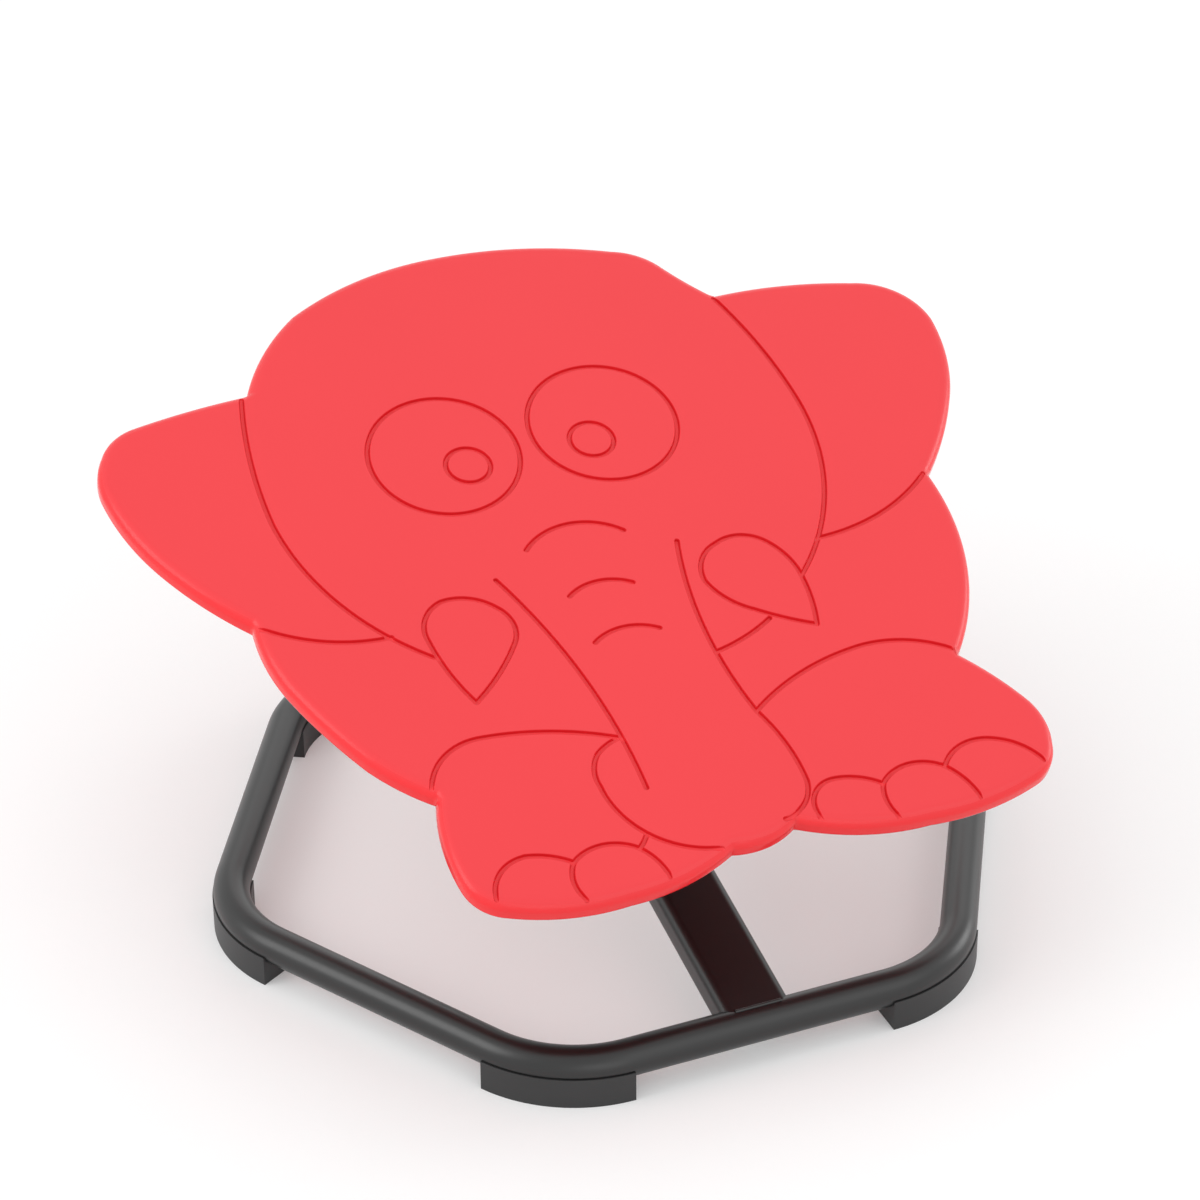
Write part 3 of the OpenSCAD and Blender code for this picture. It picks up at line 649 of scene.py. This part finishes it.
def draw_line(sketch, arcs, offset):
    """Both sides of a routed line at one distance from its middle, with round ends."""
    for side in (-offset, offset):
        for arc in arcs:
            for part in clear_of_rim(arc.points(LINE_STEP, side)):
                sketch.line(part)
    heads = [(arc.heading(0), arc.heading(1)) for arc in arcs]
    ends = [(arc.points(LINE_STEP)[0], arc.points(LINE_STEP)[-1]) for arc in arcs]
    marks = []
    closed = np.allclose(ends[0][0], ends[-1][1])
    for index in range(len(arcs) if closed else len(arcs) - 1):
        follow = (index + 1) % len(arcs)
        bend = (heads[follow][0] - heads[index][1] + math.pi) % math.tau - math.pi
        if abs(bend) > LINE_KINK:
            marks.append(ends[index][1])
    if not closed:
        marks += [ends[0][0], ends[-1][1]]
    for mark in marks:
        circle = mark + offset * turned(np.linspace(0, math.tau, LINE_END_SIDES + 1))
        for part in clear_of_rim(circle):
            sketch.line(part)


def seat_top():
    """The top of the plate: places, triangles, the numbers of its rim's points, and reds, with painted shade and
    painted light on the rim and the routed lines.
    """
    sketch = Sketch()
    sketch.line(OUTLINE_POINTS, closed=True)
    for turn in round_turns[1:]:
        inset = TOP_ROUND * (1 - math.cos(turn))
        sketch.line(along(OUTLINE, OUTLINE_STEP, -inset), closed=True)
    for arcs in LINES:
        for row in LINE_PROFILE:
            draw_line(sketch, arcs, row[0])
    low, high = OUTLINE_POINTS.min(0), OUTLINE_POINTS.max(0)
    grid = np.stack(np.meshgrid(*[np.arange(a, b, GRID_STEP) for a, b in zip(low, high)]), -1).reshape(-1, 2)
    free = inside(grid, OUTLINE_POINTS) & (distance(grid, *RIM) > GRID_STEP / 2)
    free &= distance(grid, *CUTS) > GRID_STEP / 3
    sketch.points.extend(grid[free])
    flat, faces, number = sketch.triangles()
    faces = faces[inside(flat[faces].mean(1), OUTLINE_POINTS)]
    rim = np.array([number[index] for index in range(len(OUTLINE_POINTS))])
    edge = distance(flat, *RIM)
    edge[rim] = 0
    offsets, heights, reds = zip(*LINE_PROFILE)
    away = distance(flat, *CUTS)
    routed = np.interp(away, offsets, heights)
    rounded = rim_height(edge)
    # The line reds hold painted light on the floors and painted shade on the walls and lips
    line_painted_red = blended(away, offsets, reds)
    # The rim's rounding blends into the rim red of painted shade and light
    rim_painted_red = blended(edge, (0, TOP_ROUND / 2), (RIM_PAINTED_SHADE_AND_LIGHT_RED, TOP_RED))
    red = np.where((routed <= rounded)[:, None], line_painted_red, rim_painted_red)
    return np.column_stack([flat, SEAT_T + np.minimum(routed, rounded)]), faces, rim, red


def seat_under():
    """The underside, with a blind hole for each threaded insert."""
    sketch = Sketch()
    inner = along(OUTLINE, OUTLINE_STEP, -UNDER_ROUND)
    sketch.line(inner, closed=True)
    circle = turned(np.linspace(0, math.tau, HOLE_SIDES + 1)[:-1])
    holes = [INSERT_CIRCLE_R * turned(math.tau * index / INSERT_COUNT) for index in range(INSERT_COUNT)]
    for hole in holes:
        sketch.line(hole + INSERT_HOLE_R * circle, closed=True)
    flat, faces, number = sketch.triangles()
    middles = flat[faces].mean(1)
    keep = inside(middles, inner)
    for hole in holes:
        keep &= np.linalg.norm(middles - hole, axis=1) > INSERT_HOLE_R * math.cos(math.pi / HOLE_SIDES)
    numbers = np.array([number[index] for index in range(len(sketch.points))])
    return flat, faces[keep][:, ::-1], numbers[:len(inner)], numbers[len(inner):].reshape(-1, HOLE_SIDES)


def strip(first, second):
    """Quads between two closed rows of point numbers."""
    return [(a, b, c, d) for a, b, c, d in zip(first, np.roll(first, -1), np.roll(second, -1), second)]


def seat_plate():
    """The whole plate as one closed shape in the seat's own frame: places, faces and reds."""
    top, top_faces, rim, red = seat_top()
    under, under_faces, under_rim, holes = seat_under()
    places = [top]
    reds = [red]
    faces = [tuple(face) for face in top_faces]
    count = len(top)
    row = rim
    for turn in round_turns[:-1]:
        inset = UNDER_ROUND * (1 - math.cos(turn))
        ring = along(OUTLINE, OUTLINE_STEP, -inset)
        height = np.full(len(ring), UNDER_ROUND * (1 - math.sin(turn)))
        places.append(np.column_stack([ring, height]))
        # The rim's rounding and side get the rim red of painted shade and light
        reds.append(np.tile(RIM_PAINTED_SHADE_AND_LIGHT_RED, (len(ring), 1)))
        below = np.arange(count, count + len(ring))
        faces += strip(row, below)
        row = below
        count += len(ring)
    places.append(np.column_stack([under, np.zeros(len(under))]))
    faces += strip(row, count + under_rim)
    faces += [tuple(face) for face in under_faces + count]
    mouths = holes + count
    count += len(under)
    for mouth, hole in zip(mouths, holes):
        floor = np.column_stack([under[hole], np.full(len(hole), INSERT_HOLE_L)])
        places.append(floor)
        deep = np.arange(count, count + len(hole))
        faces += strip(mouth, deep)
        faces.append(tuple(deep))
        count += len(hole)
    # The underside and its holes get the darker red of painted shade
    hidden = count - sum(len(red) for red in reds)
    reds.append(np.tile(UNDER_PAINTED_SHADE_RED, (hidden, 1)))
    return np.concatenate(places), faces, np.concatenate(reds)


def area_normals(mesh):
    """A normal for each corner point, in which large faces count for more."""
    normals = np.zeros((len(mesh.vertices), 3))
    for face in mesh.polygons:
        for index in face.vertices:
            normals[index] += np.array(face.normal) * face.area
    return normals / np.linalg.norm(normals, axis=1)[:, None]


def elephant_seat():
    """The seat piece: smooth over its rim and lines, flat on its underside up to the holes."""
    places, faces, reds = seat_plate()
    across = Vector((1, 0, 0))
    turn = Matrix((across, AXIS.cross(across), AXIS)).transposed()
    mesh = bpy.data.meshes.new("elephant_seat")
    mesh.from_pydata(places, [], faces)
    # The zone reds: the board's own red, with painted shade and painted light
    zones = mesh.attributes.new("zone", "FLOAT_COLOR", "POINT")
    zones.data.foreach_set("color", reds.astype(np.float32).ravel())
    work = bmesh.new()
    work.from_mesh(mesh)
    bmesh.ops.recalc_face_normals(work, faces=work.faces)
    work.to_mesh(mesh)
    work.free()
    mesh.transform(Matrix.Translation(PIVOT) @ turn.to_4x4() @ Matrix.Scale(MM, 4))
    mesh.shade_smooth()
    normals = area_normals(mesh)
    normals[places[:, 2] == 0] = -AXIS
    mesh.normals_split_custom_set_from_vertices(normals)
    add_piece("elephant_seat", mesh, "seat", "seat_plastic", "seat_plate")


elephant_seat()

# Every CAD piece that still shows gets its slot's finish
for part in frame["record"]["subparts"]:
    shown = frame["nodes"][part["node"]]
    if not shown.hide_render:
        shown.data.materials.clear()
        shown.data.materials.append(FINISHES[part["material_slot"]])

# Camera, at the photograph's place
CAMERA_PLACE = Vector((-0.7215, -1.7092, 1.3088))
AZIMUTH = math.radians(-22.75)
ELEVATION = math.radians(31.645)
ROLL = math.radians(-0.3725)
LENS_MM = 121.62
SENSOR_MM = 36
back = Vector((math.sin(AZIMUTH) * math.cos(ELEVATION), -math.cos(AZIMUTH) * math.cos(ELEVATION),
               math.sin(ELEVATION)))
right = Vector((math.cos(AZIMUTH), math.sin(AZIMUTH), 0))
aim = Matrix((right, back.cross(right), back)).transposed() @ Matrix.Rotation(ROLL, 3, "Z")
camera = bpy.data.objects.new("camera", bpy.data.cameras.new("camera"))
camera.data.lens = LENS_MM
camera.data.sensor_width = SENSOR_MM
camera.matrix_world = Matrix.Translation(CAMERA_PLACE) @ aim.to_4x4()
bpy.context.scene.collection.objects.link(camera)
bpy.context.scene.camera = camera


# Light and floor
def seen_directly(tree):
    """1 on rays that the camera sends, also by way of gloss or glass, and 0 on the rest."""
    path = tree.node("ShaderNodeLightPath")
    rays = [path.out(name) for name in ("Is Camera Ray", "Is Glossy Ray", "Is Transmission Ray")]
    return rays[0].maths("MAXIMUM", rays[0].maths("MAXIMUM", rays[0], rays[1]), rays[2])


SKY_LEVEL = 0.84
world = bpy.data.worlds.new("studio")
world.use_nodes = True
bpy.context.scene.world = world
sky = Tree(world.node_tree)
world.node_tree.nodes.clear()
level = SKY_LEVEL + seen_directly(sky) * (1 - SKY_LEVEL)
glow = sky.node("ShaderNodeBackground", {}, {"Color": (1, 1, 1, 1), "Strength": level})
sky.node("ShaderNodeOutputWorld", {}, {"Surface": glow})


LAMP_AIM = Vector((0, 0, 0.12))


def soft_lamp(name, place, size, watts):
    """A round area lamp, turned towards the seat."""
    lamp = bpy.data.lights.new(name, "AREA")
    lamp.shape = "DISK"
    lamp.size = size
    lamp.energy = watts
    holder = bpy.data.objects.new(name, lamp)
    holder.location = place
    holder.rotation_euler = (LAMP_AIM - Vector(place)).to_track_quat("-Z", "Y").to_euler()
    bpy.context.scene.collection.objects.link(holder)


soft_lamp("left_lamp", (-2.05, 0.1, 1.25), size=1.5, watts=15)
soft_lamp("right_lamp", (2.3, 0.0, 0.65), size=1.0, watts=8.5)
soft_lamp("back_lamp", (1.05, 1.8, 1.2), size=2.2, watts=5)
soft_lamp("front_right_lamp", (1.0, -1.7, 1.4), size=1.6, watts=4)
soft_lamp("front_lamp", (-0.2, -2.3, 0.6), size=1.4, watts=4)

FLOOR_HALF = 8.0
FLOOR_GLOW = 0.2
paper = Finish("pale_floor")
speckle = paper.noise(paper.place, 300.0, 2.0)
shade = paper.mix(speckle, (0.79, 0.79, 0.79, 1), (0.81, 0.81, 0.81, 1))
matte = paper.node("ShaderNodeBsdfDiffuse", {}, {"Color": shade})
lift_level = seen_directly(paper) * FLOOR_GLOW
lift = paper.node("ShaderNodeEmission", {}, {"Color": (1, 1, 1, 1), "Strength": lift_level})
both = paper.node("ShaderNodeAddShader", {}, {0: matte, 1: lift})
paper.node("ShaderNodeOutputMaterial", {}, {"Surface": both})
floor_mesh = bpy.data.meshes.new("floor")
floor_corners = [(x * FLOOR_HALF, y * FLOOR_HALF, 0) for x, y in ((-1, -1), (1, -1), (1, 1), (-1, 1))]
floor_mesh.from_pydata(floor_corners, [], [(0, 1, 2, 3)])
floor_mesh.materials.append(paper.material)
floor = bpy.data.objects.new("floor", floor_mesh)
bpy.context.scene.collection.objects.link(floor)

bpy.context.scene.view_settings.view_transform = "Standard"
